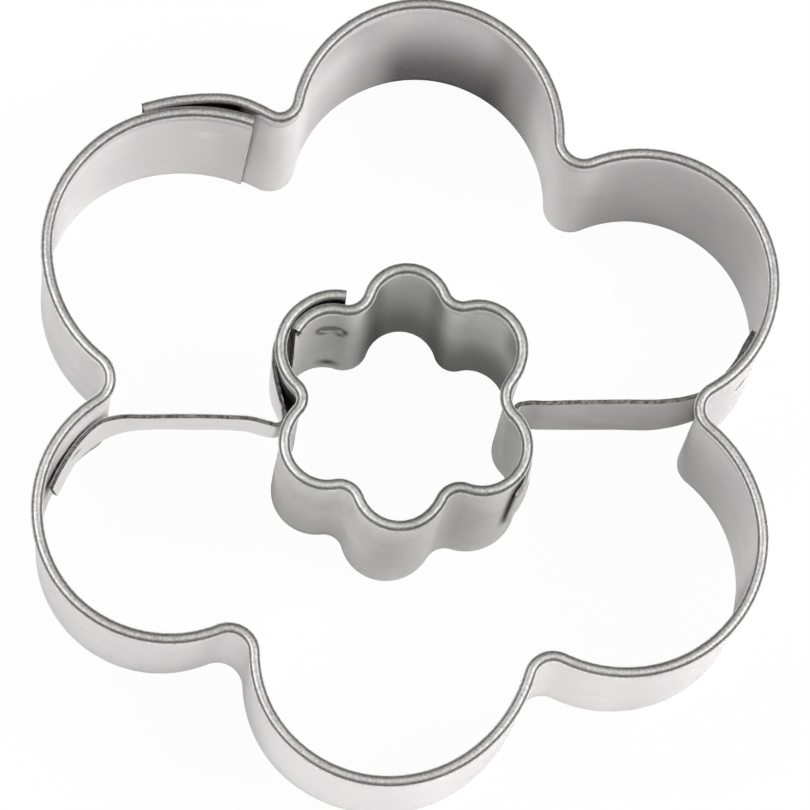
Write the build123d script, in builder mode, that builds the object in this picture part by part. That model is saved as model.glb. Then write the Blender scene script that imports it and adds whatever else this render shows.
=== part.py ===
"""Flower-in-flower pastry cutter: two hemmed sheet rings joined by two flat braces and spot welds.

Millimetres, +Z up. The cutting edges stand on z = 0, the rolled hems are on top, and the
origin is at the middle of the outer ring's outline.
"""

import os
from math import atan2, cos, degrees, hypot, radians, sin, sqrt

from build123d import *

# Both rings: one sheet strip, rolled over inwards along its top edge
ring_height = 25.0
ring_sheet = 0.3
hem_width = 1.2
hem_inset = 0.2
flap_drop = 3.0
flap_gap = 0.1
lap_gap = 0.05

# Six petals, numbered anticlockwise from the one at upper right; a notch has the number of the petal before it
petal_count = 6
first_petal_angle = 30.0
crown_half_angle = 40.0
full_turn = 360.0
quarter_turn = 90.0

# Outer flower
outer_petal_radius = 13.25
outer_petal_overlap = 0.6
outer_notch_radius = 2.6
outer_turn_angles = (-1.0, -1.0, 1.0, 0.5, -0.5, 0.0)
outer_reach_shares = (1.015, 1.01, 1.03, 1.015, 0.955, 1.005)
outer_radius_shares = (0.97, 0.99, 1.03, 0.97, 1.04, 1.0)
outer_entry_flank_shares = (0.95, 1.03, 1.25, 0.92, 0.94, 1.04)
outer_exit_flank_shares = (0.97, 0.98, 1.1, 0.95, 1.2, 1.09)
outer_notch_shares = (1.0, 1.0, 1.0, 1.0, 0.95, 0.9)
outer_seam_index = 2
outer_cut_setback = 0.7
outer_tail_length = 13.0
outer_lap_notch_share = 0.75

# Inner flower
inner_shift_x = 0.1
inner_shift_y = -1.2
inner_petal_radius = 4.35
inner_petal_gap = 0.2
inner_notch_radius = 2.2
inner_turn_angles = (6.0, -0.5, -1.5, 4.5, 1.0, 0.0)
inner_reach_shares = (1.0, 1.005, 0.935, 0.985, 0.99, 1.04)
inner_radius_shares = (0.99, 0.9, 0.92, 1.0, 1.02, 1.09)
inner_entry_flank_shares = (1.25, 0.89, 0.92, 1.19, 1.0, 1.09)
inner_exit_flank_shares = (0.88, 0.86, 0.92, 1.0, 1.21, 1.09)
inner_notch_shares = (0.91, 1.06, 0.8, 0.92, 1.0, 1.3)
inner_seam_index = 2
inner_cut_setback = 5.6
inner_tail_length = 13.4
inner_lap_notch_share = 0.8

# Braces: plain strips on edge, with a tab at each end
brace_sheet = 0.4
brace_height = 10.0
tab_clearance = 0.06
outer_tab_length = 9.0
outer_bend_radius = 6.0
inner_bend_radius = 1.5

left_notch_index = 2
left_base_height = 7.5
left_outer_drop = 1.2
left_inner_drop = 0.75
left_inner_tab_length = 7.0

right_notch_index = 5
right_base_height = 9.5
right_outer_drop = 1.7
right_inner_drop = 0.25
right_inner_tab_length = 8.5

# Spot welds: round plugs through both sheets
seam_weld_radius = 1.2
brace_weld_radius = 1.1
upper_seam_weld_share = 0.68
lower_seam_weld_share = 0.32
outer_lap_weld_share = 0.5
inner_lap_weld_share = 0.6
tab_weld_share = 0.5
cut_overrun = 0.2


def polar(centre, radius, angle):
    """Point at a radius and an angle in degrees from a centre."""
    return (centre[0] + radius * cos(radians(angle)), centre[1] + radius * sin(radians(angle)))


def bearing(centre, point):
    """Angle in degrees from a centre to a point."""
    return degrees(atan2(point[1] - centre[1], point[0] - centre[0]))


def arc_between(centre, radius, start, end, sense):
    """Arc as (centre, radius, start angle, swept angle), turning by sense from start to end."""
    begin = bearing(centre, start)
    swept = (bearing(centre, end) - begin) * sense % full_turn
    return (centre, radius, begin, swept * sense)


def arc_length(arc):
    """Length along an arc."""
    return arc[1] * radians(abs(arc[3]))


def trimmed_start(arcs, length):
    """The arcs with a length taken off their beginning."""
    kept = []
    for arc in arcs:
        centre, radius, begin, swept = arc
        cut = min(length, arc_length(arc))
        length = length - cut
        turned = degrees(cut / radius) * (1 if swept > 0 else -1)
        if abs(swept - turned) > 0:
            kept.append((centre, radius, begin + turned, swept - turned))
    return kept


def trimmed_end(arcs, length):
    """The first part of the arcs, of a given length."""
    kept = []
    for arc in arcs:
        centre, radius, begin, swept = arc
        if length >= arc_length(arc):
            kept.append(arc)
        elif length > 0:
            kept.append((centre, radius, begin, degrees(length / radius) * (1 if swept > 0 else -1)))
        length = max(length - arc_length(arc), 0)
    return kept


def petal_circles(facing, centre, crown_radius, entry_radius, exit_radius, sense, step):
    """Entry flank, crown and exit flank of a petal, each (centre, radius), grown by a step."""
    entry_angle = facing - sense * crown_half_angle
    exit_angle = facing + sense * crown_half_angle
    entry_centre = polar(centre, crown_radius - entry_radius, entry_angle)
    exit_centre = polar(centre, crown_radius - exit_radius, exit_angle)
    return {
        "entry": (entry_centre, entry_radius + step),
        "crown": (centre, crown_radius + step),
        "exit": (exit_centre, exit_radius + step),
        "entry_joint": polar(centre, crown_radius + step, entry_angle),
        "exit_joint": polar(centre, crown_radius + step, exit_angle),
    }


def notch_circle(before, after, radius, sense):
    """Circle in the notch that touches the flank before it and the flank after it."""
    (c1, r1), (c2, r2) = before, after
    span = hypot(c2[0] - c1[0], c2[1] - c1[1])
    along = ((c2[0] - c1[0]) / span, (c2[1] - c1[1]) / span)
    a, b = r1 + radius, r2 + radius
    reach = (a * a - b * b + span * span) / (2 * span)
    rise = sqrt(a * a - reach * reach)
    outward = (along[1] * sense, -along[0] * sense)
    centre = (c1[0] + along[0] * reach + outward[0] * rise, c1[1] + along[1] * reach + outward[1] * rise)
    return {
        "centre": centre,
        "radius": radius,
        "enter": polar(c1, r1, bearing(c1, centre)),
        "leave": polar(c2, r2, bearing(c2, centre)),
    }


def flower(middle, reach, radius, notch, turns, reaches, radii, entries, exits, notches, seam, sense, step,
           lap_share, setback, tail):
    """Path of one ring's strip, as arcs, with its petals and notches in the order of travel.

    The strip starts on the seam petal, a setback past the notch, goes once round and ends in a tail
    that laps the outside of its own start, one step further out.
    """
    order = [(seam + sense * k) % petal_count for k in range(petal_count)]
    petals = {}
    for j in order:
        facing = first_petal_angle + full_turn / petal_count * j + turns[j]
        centre = polar(middle, reach * reaches[j], facing)
        flanks = (entries[j], exits[j]) if sense > 0 else (exits[j], entries[j])
        sizes = (radius * radii[j], radius * flanks[0], radius * flanks[1])
        petals[j] = petal_circles(facing, centre, *sizes, sense, 0)
        if j == seam:
            lapped = petal_circles(facing, centre, *sizes, sense, step)

    def notch_between(j, k):
        """Number of the notch passed on the way from petal j to petal k."""
        return j if sense > 0 else k

    gaps = {}
    for j, k in zip(order, order[1:]):
        n = notch_between(j, k)
        gaps[n] = notch_circle(petals[j]["exit"], petals[k]["entry"], notch * notches[n], sense)
    last = order[-1]
    n = notch_between(last, seam)
    gaps[n] = notch_circle(petals[last]["exit"], lapped["entry"], notch * lap_share, sense)
    hidden = notch_circle(petals[last]["exit"], petals[seam]["entry"], notch * notches[n], sense)

    def petal_arcs(petal, enter, leave):
        """The three arcs of a petal, between the notches on its two sides."""
        arcs = [arc_between(*petal["entry"], enter, petal["entry_joint"], sense)]
        arcs.append(arc_between(*petal["crown"], petal["entry_joint"], petal["exit_joint"], sense))
        arcs.append(arc_between(*petal["exit"], petal["exit_joint"], leave, sense))
        return arcs

    arcs = []
    enter = hidden["leave"]
    for j, k in zip(order, order[1:] + [seam]):
        gap = gaps[notch_between(j, k)]
        run = petal_arcs(petals[j], enter, gap["enter"])
        if j == seam:
            run = trimmed_start(run, setback)
        arcs += run
        arcs.append(arc_between(gap["centre"], gap["radius"], gap["enter"], gap["leave"], -sense))
        enter = gap["leave"]
    tail_limit = polar(*lapped["exit"], bearing(lapped["exit"][0], lapped["exit_joint"]) + sense * crown_half_angle)
    arcs += trimmed_end(petal_arcs(lapped, enter, tail_limit), tail)
    return {"arcs": arcs, "petals": petals, "lapped": lapped, "gaps": gaps}


def arc_points(arc):
    """Start, middle and end of an arc."""
    centre, radius, begin, swept = arc
    return [polar(centre, radius, begin + swept * k) for k in (0, 0.5, 1)]


def reach_of(arcs):
    """Lowest and highest x and y along the arcs."""
    xs = []
    ys = []
    for centre, radius, begin, swept in arcs:
        steps = int(abs(swept)) + 1
        points = [polar(centre, radius, begin + swept * k / steps) for k in range(steps + 1)]
        xs += [p[0] for p in points]
        ys += [p[1] for p in points]
    return min(xs), max(xs), min(ys), max(ys)


outer_tables = (outer_turn_angles, outer_reach_shares, outer_radius_shares, outer_entry_flank_shares,
                outer_exit_flank_shares, outer_notch_shares)
inner_tables = (inner_turn_angles, inner_reach_shares, inner_radius_shares, inner_entry_flank_shares,
                inner_exit_flank_shares, inner_notch_shares)
lap_step = hem_width + lap_gap

# Neighbouring petals stand 60 degrees apart, so their spacing is also their distance from the middle
outer_reach = 2 * outer_petal_radius - outer_petal_overlap
inner_reach = 2 * inner_petal_radius + inner_petal_gap


def outer_flower(middle):
    """Path of the outer ring round a middle point."""
    return flower(middle, outer_reach, outer_petal_radius, outer_notch_radius, *outer_tables, outer_seam_index,
                  1, lap_step, outer_lap_notch_share, outer_cut_setback, outer_tail_length)


# The outline is moved so that its own middle is the origin
low_x, high_x, low_y, high_y = reach_of(outer_flower((0, 0))["arcs"])
outer_middle = (-(low_x + high_x) / 2, -(low_y + high_y) / 2)
outer = outer_flower(outer_middle)
inner = flower((inner_shift_x, inner_shift_y), inner_reach, inner_petal_radius, inner_notch_radius, *inner_tables,
               inner_seam_index, -1, lap_step, inner_lap_notch_share, inner_cut_setback, inner_tail_length)


def start_plane(arc, sense, height):
    """Plane across a path's start: local x points outwards, local y points up."""
    centre, radius, begin, swept = arc
    origin = polar(centre, radius, begin)
    turn = 1 if swept > 0 else -1
    tangent = Vector(-sin(radians(begin)), cos(radians(begin)), 0) * turn
    outward = Vector(tangent.Y, -tangent.X, 0) * sense
    return Plane(origin=(*origin, height), x_dir=outward, z_dir=tangent * -sense)


def path_wire(arcs, height):
    """The arcs as one connected line at a height."""
    with BuildLine(Plane.XY.offset(height)) as line:
        for arc in arcs:
            ThreePointArc(*arc_points(arc))
    return line.line


def hemmed_strip(ring, sense):
    """Ring strip: a plain wall whose top is rolled inwards into a hollow hem with a hanging flap."""
    hem_radius = hem_width / 2
    hem_height = ring_height - hem_radius
    flap_middle = -(ring_sheet + flap_gap)
    with BuildPart() as strip:
        with BuildSketch(start_plane(ring["arcs"][0], sense, 0)) as section:
            with Locations((0, hem_height / 2)):
                Rectangle(ring_sheet, hem_height)
            with Locations((flap_middle, ring_height - (flap_drop + hem_radius) / 2)):
                Rectangle(ring_sheet, flap_drop - hem_radius)
            with Locations((-hem_inset, hem_height)):
                Circle(hem_radius)
                Circle(hem_radius - ring_sheet, mode=Mode.SUBTRACT)
            with Locations((flap_middle / 2, ring_height - (flap_drop + hem_radius) / 2)):
                Rectangle(flap_gap, flap_drop - hem_radius, mode=Mode.SUBTRACT)
        sweep(path=path_wire(ring["arcs"], 0))
    return strip.part


def notch_tip(gap, middle):
    """Innermost point of a notch."""
    return polar(gap["centre"], gap["radius"], bearing(gap["centre"], middle))


def line_circle(start, end, shift, centre, radius, nearest):
    """Where a line, shifted to its left, crosses a circle: the crossing nearest to a point."""
    heading = bearing(start, end)
    base = polar(start, shift, heading + quarter_turn)
    away = hypot(centre[0] - base[0], centre[1] - base[1])
    turn = radians(bearing(base, centre) - heading)
    middle = away * cos(turn)
    half = sqrt(radius * radius - (away * sin(turn)) ** 2)
    found = [polar(base, middle + side * half, heading) for side in (1, -1)]
    return min(found, key=lambda p: hypot(p[0] - nearest[0], p[1] - nearest[1]))


def brace_path(notch, outer_drop, inner_drop, inner_petal, inner_tab_length):
    """Tab inside the outer ring, bend, straight run, sharp bend, tab outside the inner ring.

    The run passes the two notch tips at a drop to its right. The outer tab and its bend turn the
    same way; the inner tab turns back round the small petal.
    """
    outer_tip = notch_tip(outer["gaps"][notch], (0, 0))
    inner_tip = notch_tip(inner["gaps"][notch], (inner_shift_x, inner_shift_y))
    right_hand = bearing(outer_tip, inner_tip) - quarter_turn
    outer_tip = polar(outer_tip, outer_drop, right_hand)
    inner_tip = polar(inner_tip, inner_drop, right_hand)
    outer_centre, outer_wall = outer["petals"][(notch + 1) % petal_count]["entry"]
    inner_centre, inner_wall = inner_petal["entry"]
    tab_offset = ring_sheet / 2 + tab_clearance + brace_sheet / 2
    outer_radius = outer_wall - tab_offset
    inner_radius = inner_wall + tab_offset
    heading = bearing(outer_tip, inner_tip)

    bend = line_circle(outer_tip, inner_tip, -outer_bend_radius, outer_centre, outer_radius - outer_bend_radius,
                       outer_tip)
    run_start = polar(bend, outer_bend_radius, heading + quarter_turn)
    bend_start = polar(outer_centre, outer_radius, bearing(outer_centre, bend))
    bend_arc = arc_between(bend, outer_bend_radius, bend_start, run_start, -1)
    tab_turn = degrees(outer_tab_length / outer_radius)
    tab_arc = (outer_centre, outer_radius, bearing(outer_centre, bend_start) + tab_turn, -tab_turn)

    hook = line_circle(outer_tip, inner_tip, inner_bend_radius, inner_centre, inner_radius + inner_bend_radius,
                       outer_tip)
    run_end = polar(hook, inner_bend_radius, heading - quarter_turn)
    hook_end = polar(inner_centre, inner_radius, bearing(inner_centre, hook))
    hook_arc = arc_between(hook, inner_bend_radius, run_end, hook_end, 1)
    inner_turn = degrees(inner_tab_length / inner_radius)
    inner_arc = (inner_centre, inner_radius, bearing(inner_centre, hook), -inner_turn)
    return {
        "before": [tab_arc, bend_arc],
        "run": (run_start, run_end),
        "after": [hook_arc, inner_arc],
        "outer_wall": (outer_centre, outer_wall),
        "inner_wall": (inner_centre, inner_wall),
    }


def brace_strip(path, base_height):
    """Plain strip standing on edge along a brace's path."""
    middle = base_height + brace_height / 2
    with BuildPart() as strip:
        with BuildLine(Plane.XY.offset(middle)) as line:
            for arc in path["before"]:
                ThreePointArc(*arc_points(arc))
            Line(*path["run"])
            for arc in path["after"]:
                ThreePointArc(*arc_points(arc))
        with BuildSketch(start_plane(path["before"][0], 1, middle)):
            Rectangle(brace_sheet, brace_height)
        sweep(path=line.line)
    return strip.part


def along(arc, share):
    """Angle at a share of an arc's sweep."""
    return arc[2] + arc[3] * share


def weld(wall, inside, outside, angle, height, radius):
    """Spot weld on a petal's radius: its centre, the two radii it runs between, and its place."""
    centre, middle = wall
    return (centre, middle - inside, middle + outside, angle, height, radius)


def weld_plug(centre, inside, outside, angle, height, radius):
    """Round plug along a petal's radius, ending flush with the faces at two radii."""
    facing = (cos(radians(angle)), sin(radians(angle)), 0)
    with BuildPart() as plug:
        with BuildSketch():
            with Locations(centre):
                Circle(outside)
                Circle(inside, mode=Mode.SUBTRACT)
        extrude(amount=ring_height)
        with BuildSketch(Plane(origin=(*centre, height), z_dir=facing)):
            Circle(radius)
        extrude(amount=outside + cut_overrun, mode=Mode.INTERSECT)
    return plug.part


def weld_bore(centre, inside, outside, angle, height, radius):
    """Round bore that a weld plug fills, run out past both faces."""
    facing = (cos(radians(angle)), sin(radians(angle)), 0)
    with BuildPart() as bore:
        with BuildSketch(Plane(origin=(*polar(centre, inside - cut_overrun, angle), height), z_dir=facing)):
            Circle(radius)
        extrude(amount=outside - inside + 2 * cut_overrun)
    return bore.part


# Paths of the braces: the left one hooks round the seam petal's outer layer
left_path = brace_path(left_notch_index, left_outer_drop, left_inner_drop, inner["lapped"], left_inner_tab_length)
right_path = brace_path(right_notch_index, right_outer_drop, right_inner_drop,
                        inner["petals"][right_notch_index], right_inner_tab_length)

# Spot welds: two through each lap, one through each tab
half_sheet = ring_sheet / 2
tab_depth = half_sheet + tab_clearance + brace_sheet


def seam_welds(arcs, lap_share):
    """Two spot welds, one above the other, at a share of the overlap from the hidden end."""
    first, last = arcs[0], arcs[-1]
    overlap = (last[2] + last[3] - first[2]) % full_turn
    overlap = overlap if first[3] > 0 else overlap - full_turn
    angle = first[2] + overlap * lap_share
    heights = (ring_height * lower_seam_weld_share, ring_height * upper_seam_weld_share)
    wall = (first[0], first[1])
    return [weld(wall, half_sheet, lap_step + half_sheet, angle, h, seam_weld_radius) for h in heights]


def tab_welds(path, base_height):
    """One spot weld through the outer tab and one through the inner tab."""
    height = base_height + brace_height / 2
    outer_angle = along(path["before"][0], tab_weld_share)
    inner_angle = along(path["after"][1], tab_weld_share)
    return [
        weld(path["outer_wall"], tab_depth, half_sheet, outer_angle, height, brace_weld_radius),
        weld(path["inner_wall"], half_sheet, tab_depth, inner_angle, height, brace_weld_radius),
    ]


outer_seam = seam_welds(outer["arcs"], outer_lap_weld_share)
inner_seam = seam_welds(inner["arcs"], inner_lap_weld_share)
left_tabs = tab_welds(left_path, left_base_height)
right_tabs = tab_welds(right_path, right_base_height)

# Pieces
with BuildPart() as outer_ring:
    add(hemmed_strip(outer, 1))
    for place in outer_seam + [left_tabs[0], right_tabs[0]]:
        add(weld_bore(*place), mode=Mode.SUBTRACT)

with BuildPart() as inner_ring:
    add(hemmed_strip(inner, -1))
    for place in inner_seam + [left_tabs[1], right_tabs[1]]:
        add(weld_bore(*place), mode=Mode.SUBTRACT)

with BuildPart() as left_brace:
    add(brace_strip(left_path, left_base_height))
    for place in left_tabs:
        add(weld_bore(*place), mode=Mode.SUBTRACT)

with BuildPart() as right_brace:
    add(brace_strip(right_path, right_base_height))
    for place in right_tabs:
        add(weld_bore(*place), mode=Mode.SUBTRACT)

with BuildPart() as outer_seam_lower_weld:
    add(weld_plug(*outer_seam[0]))
with BuildPart() as outer_seam_upper_weld:
    add(weld_plug(*outer_seam[1]))
with BuildPart() as inner_seam_lower_weld:
    add(weld_plug(*inner_seam[0]))
with BuildPart() as inner_seam_upper_weld:
    add(weld_plug(*inner_seam[1]))
with BuildPart() as left_outer_tab_weld:
    add(weld_plug(*left_tabs[0]))
with BuildPart() as left_inner_tab_weld:
    add(weld_plug(*left_tabs[1]))
with BuildPart() as right_outer_tab_weld:
    add(weld_plug(*right_tabs[0]))
with BuildPart() as right_inner_tab_weld:
    add(weld_plug(*right_tabs[1]))

outer_ring.part.label = "outer_ring"
inner_ring.part.label = "inner_ring"
left_brace.part.label = "left_brace"
right_brace.part.label = "right_brace"
outer_seam_lower_weld.part.label = "outer_seam_lower_weld"
outer_seam_upper_weld.part.label = "outer_seam_upper_weld"
inner_seam_lower_weld.part.label = "inner_seam_lower_weld"
inner_seam_upper_weld.part.label = "inner_seam_upper_weld"
left_outer_tab_weld.part.label = "left_outer_tab_weld"
left_inner_tab_weld.part.label = "left_inner_tab_weld"
right_outer_tab_weld.part.label = "right_outer_tab_weld"
right_inner_tab_weld.part.label = "right_inner_tab_weld"

os.makedirs("parts", exist_ok=True)
export_step(outer_ring.part, "parts/outer_ring.step")
export_step(inner_ring.part, "parts/inner_ring.step")
export_step(left_brace.part, "parts/left_brace.step")
export_step(right_brace.part, "parts/right_brace.step")
export_step(outer_seam_lower_weld.part, "parts/outer_seam_lower_weld.step")
export_step(outer_seam_upper_weld.part, "parts/outer_seam_upper_weld.step")
export_step(inner_seam_lower_weld.part, "parts/inner_seam_lower_weld.step")
export_step(inner_seam_upper_weld.part, "parts/inner_seam_upper_weld.step")
export_step(left_outer_tab_weld.part, "parts/left_outer_tab_weld.step")
export_step(left_inner_tab_weld.part, "parts/left_inner_tab_weld.step")
export_step(right_outer_tab_weld.part, "parts/right_outer_tab_weld.step")
export_step(right_inner_tab_weld.part, "parts/right_inner_tab_weld.step")
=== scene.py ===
"""Look of the flower pastry cutter: hemmed sheet rings, leaning walls, braces, spot welds and a pale studio.
"""

from math import atan2, ceil, cos, degrees, exp, hypot, pi, radians, sin, sqrt

import bpy
from mathutils import Matrix, Vector, noise


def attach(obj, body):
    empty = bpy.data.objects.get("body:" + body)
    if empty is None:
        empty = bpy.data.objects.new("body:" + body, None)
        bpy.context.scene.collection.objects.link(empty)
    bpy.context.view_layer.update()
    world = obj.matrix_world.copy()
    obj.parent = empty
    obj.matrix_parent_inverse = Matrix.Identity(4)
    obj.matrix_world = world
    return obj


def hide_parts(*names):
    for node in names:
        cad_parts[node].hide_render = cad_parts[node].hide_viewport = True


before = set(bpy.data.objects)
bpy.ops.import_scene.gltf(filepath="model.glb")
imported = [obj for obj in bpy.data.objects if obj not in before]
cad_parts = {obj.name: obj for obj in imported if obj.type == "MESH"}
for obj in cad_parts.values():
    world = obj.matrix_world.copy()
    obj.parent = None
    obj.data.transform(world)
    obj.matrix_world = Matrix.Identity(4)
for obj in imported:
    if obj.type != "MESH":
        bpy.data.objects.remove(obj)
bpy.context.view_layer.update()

MM = 0.001
scene = bpy.context.scene

# Strip of both rings, as in the solids
ring_height = 25.0
ring_sheet = 0.3
hem_width = 1.2
hem_inset = 0.2
flap_drop = 2.55
flap_gap = 0.1
flap_uneven = 0.35
flap_uneven_length = 11.0
flap_curl = 0.06

# Flowers: petals are numbered anticlockwise from upper right, a notch has the number of the petal before it
petal_count = 6
first_petal_angle = 30.0
crown_half_angle = 40.0
full_turn = 360.0

# Sides of a ring's sheet, and a piece's material slots for faces and for edges
outside, inside = 0, 1
face_slot, edge_slot = 0, 1

# Tone areas are painted light and shade: rows of (distance, half length, level, fade, side, change of brightness).
# At its level an area is half as strong; it grows upwards over the fade, or downwards where that is negative.
# This level is above the hem.
whole_wall = (40.0, -10.0)

# Outer ring: the hem's outline and the cutting edge's outline, as shares of the same sizes. Distances run along the
# strip in mm from its hidden end, or from its lapping end where they are negative. Dents go outwards, or inwards
# where their depth is negative.
outer_spec = {
    "middle": (0.57, -0.38), "reach": 25.9, "petal": 13.25, "notch": 2.6, "sense": 1, "seam": 2,
    "lap": 10.75, "stains": (), "shades": (),
    # The seam's welds in the hidden and the lapping layer, and the wall pulled in at the left tab
    "dents": (
        {"at": 4.5, "height": 17.0, "depth": 0.18, "radius": 1.5},
        {"at": -6.25, "height": 17.0, "depth": -0.18, "radius": 1.5},
        {"at": 4.3, "height": 8.0, "depth": 0.1, "radius": 1.5},
        {"at": -6.45, "height": 8.0, "depth": -0.1, "radius": 1.5},
        {"at": 51.5, "height": 15.5, "depth": -0.62, "radius": 6.5},
    ),
    # Painted light and shade: areas of the walls painted darker or lighter
    "painted_light_and_shade": (
        (238.0, 6.5, 11.0, -18.0, inside, -0.72),  # top crown, low
        (230.0, 3.0, 30.0, -18.0, inside, -0.28),  # top petal, upper right
        (225.5, 3.0, 12.0, -12.0, inside, 0.25),  # below it
        (249.0, 4.0, 18.0, 10.0, inside, -0.3),  # top petal, upper left
        (126.0, 3.0, 16.0, 8.0, inside, -0.5),  # bottom petal, right
        (56.0, 3.0, 12.0, 8.0, inside, -0.4),  # lower left petal, left
        (204.0, 10.0, 30.0, -18.0, inside, -0.1),  # upper right crown
        (220.0, 4.0, 20.0, -30.0, inside, 0.22),  # top petal's right flank
        (253.0, 5.0, 18.0, -12.0, inside, 0.16),  # top petal's left flank
        (262.0, 6.0, *whole_wall, inside, 0.2),  # notch at the seam
        (9.0, 13.0, *whole_wall, inside, 0.2),  # upper left petal
        (44.0, 6.0, *whole_wall, inside, 0.2),  # left notch, inside
        (41.0, 4.0, *whole_wall, outside, 0.15),  # left notch, outside
        (106.0, 10.0, *whole_wall, outside, 0.1),  # bottom crown
        (133.0, 5.0, *whole_wall, outside, 0.12),  # bottom right notch
        (154.0, 3.0, 22.0, -12.0, inside, -0.3),  # lower right, edge on
        (165.0, 7.0, *whole_wall, inside, 0.18),  # lower right crown
    ),
    "top": {
        "turn": (-0.5, -0.5, 0.8, 1.3, -0.3, -0.6),
        "reach": (1.005, 1.02, 1.0, 1.005, 0.98, 0.995),
        "crown": (0.97, 0.985, 1.035, 0.98, 1.015, 1.015),
        "lead": (0.955, 1.015, 1.265, 0.935, 0.915, 1.055),
        "trail": (0.975, 0.97, 1.115, 0.965, 1.18, 1.1),
        "notch": (0.95, 1.2, 1.0, 0.95, 0.9, 0.9),
        "step": 1.25, "lap_notch": 0.75, "setback": 0.25, "tail": 13.0,
    },
    "foot": {
        "turn": (-1.5, -1.0, 0.8, -0.8, -0.3, 0.2),
        "reach": (1.025, 0.995, 1.055, 1.02, 0.935, 1.015),
        "crown": (0.965, 1.0, 1.02, 0.96, 1.065, 0.99),
        "lead": (0.945, 1.035, 1.25, 0.96, 0.97, 1.025),
        "trail": (0.96, 0.99, 1.095, 0.94, 1.23, 1.07),
        "notch": (1.0, 1.25, 1.0, 1.05, 1.0, 0.9),
        "step": 0.35, "lap_notch": 0.95, "setback": 1.0, "tail": 12.6,
    },
}

# Inner ring, with the same entries
inner_spec = {
    "middle": (0.17, -1.2), "reach": 8.9, "petal": 4.35, "notch": 2.2, "sense": -1, "seam": 2,
    "lap": 6.25,
    # Painted shade behind the two inner tabs
    "shades": (
        {"start": 75.5, "end": 84.5, "low": 5.0, "high": 20.0, "side": outside, "depth": 0.97},
        {"start": 36.0, "end": 44.5, "low": 8.0, "high": 21.0, "side": outside, "depth": 0.9},
    ),
    # Scorched ring and core at the upper weld, and a spot near the cutting edge
    "stains": (
        {"at": 4.6, "height": 15.2, "radius": 1.35, "rim": 0.3, "depth": 0.88},
        {"at": 4.8, "height": 15.2, "radius": 0.0, "rim": 0.5, "depth": 0.6},
        {"at": 4.6, "height": 2.4, "radius": 0.0, "rim": 0.95, "depth": 0.95},
    ),
    "dents": (
        {"at": 4.3, "height": 15.6, "depth": 0.31, "radius": 1.5},
        {"at": -1.95, "height": 15.6, "depth": -0.31, "radius": 1.5},
        {"at": 3.8, "height": 6.5, "depth": 0.05, "radius": 1.5},
        {"at": -2.45, "height": 6.5, "depth": -0.05, "radius": 1.5},
    ),
    # Painted light and shade: areas of the walls painted darker or lighter
    "painted_light_and_shade": (
        (19.0, 10.0, 9.0, -12.0, inside, -0.5),  # upper walls, low
        (22.5, 4.0, 10.0, 8.0, inside, 0.3),  # upper right crown, high
        (28.0, 2.0, 14.0, 8.0, inside, -0.45),  # its right flank
        (9.5, 2.0, 30.0, -12.0, inside, -0.45),  # top petal's left flank
        (18.0, 1.5, 30.0, -12.0, inside, -0.25),  # top petal's right flank
        (65.0, 8.0, 8.0, 8.0, outside, 0.2),  # lower left, outside
        (52.0, 3.0, *whole_wall, outside, -0.12),  # bottom, outside
    ),
    "top": {
        "turn": (7.5, 0.7, -1.5, 6.2, 1.7, 1.4),
        "reach": (1.0, 1.015, 0.935, 0.98, 0.97, 1.025),
        "crown": (1.015, 0.895, 0.92, 0.97, 0.99, 1.035),
        "lead": (1.3, 0.89, 0.92, 1.155, 0.96, 1.02),
        "trail": (0.9, 0.86, 0.92, 0.96, 1.185, 1.0),
        "notch": (0.9, 1.05, 0.9, 0.9, 0.9, 1.2),
        "step": 1.15, "lap_notch": 0.8, "setback": 4.9, "tail": 13.4,
    },
    "foot": {
        "turn": (3.8, -2.0, 0.0, 2.9, 0.0, -1.8),
        "reach": (0.995, 0.99, 0.95, 0.99, 1.015, 1.05),
        "crown": (0.965, 0.89, 0.95, 1.035, 1.045, 1.14),
        "lead": (1.255, 0.885, 0.95, 1.22, 1.015, 1.13),
        "trail": (0.855, 0.855, 0.95, 1.025, 1.24, 1.11),
        "notch": (0.9, 1.1, 0.9, 0.95, 1.05, 1.4),
        "step": 0.35, "lap_notch": 0.95, "setback": 5.2, "tail": 13.0,
    },
}


def mixed(low, high, share):
    """Value between two values."""
    return low + (high - low) * share


def polar(centre, radius, angle):
    """Point on a circle."""
    return (centre[0] + radius * cos(radians(angle)), centre[1] + radius * sin(radians(angle)))


def bearing(centre, point):
    """Angle at which a point is seen from a centre."""
    return degrees(atan2(point[1] - centre[1], point[0] - centre[0]))


def eased(share):
    """Smooth step from 0 to 1."""
    share = min(max(share, 0.0), 1.0)
    return share * share * (3.0 - 2.0 * share)


def crossing(share):
    """Smooth step that is half done at 0."""
    return eased(share + 0.5)


def arc_between(circle, start, end, sense):
    """Arc as (centre, radius, start angle, swept angle)."""
    centre, radius = circle
    begin = bearing(centre, start)
    return (centre, radius, begin, (bearing(centre, end) - begin) * sense % full_turn * sense)


def arc_length(arc):
    """Length of a circle's arc."""
    return arc[1] * radians(abs(arc[3]))


def petal_circles(facing, centre, crown, entry, leave, sense, step):
    """Entry flank, crown and exit flank of a petal, grown by a step."""
    angles = (facing - sense * crown_half_angle, facing + sense * crown_half_angle)
    return {
        "entry": (polar(centre, crown - entry, angles[0]), entry + step),
        "crown": (centre, crown + step),
        "exit": (polar(centre, crown - leave, angles[1]), leave + step),
        "joints": [polar(centre, crown + step, angle) for angle in angles],
    }


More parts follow.
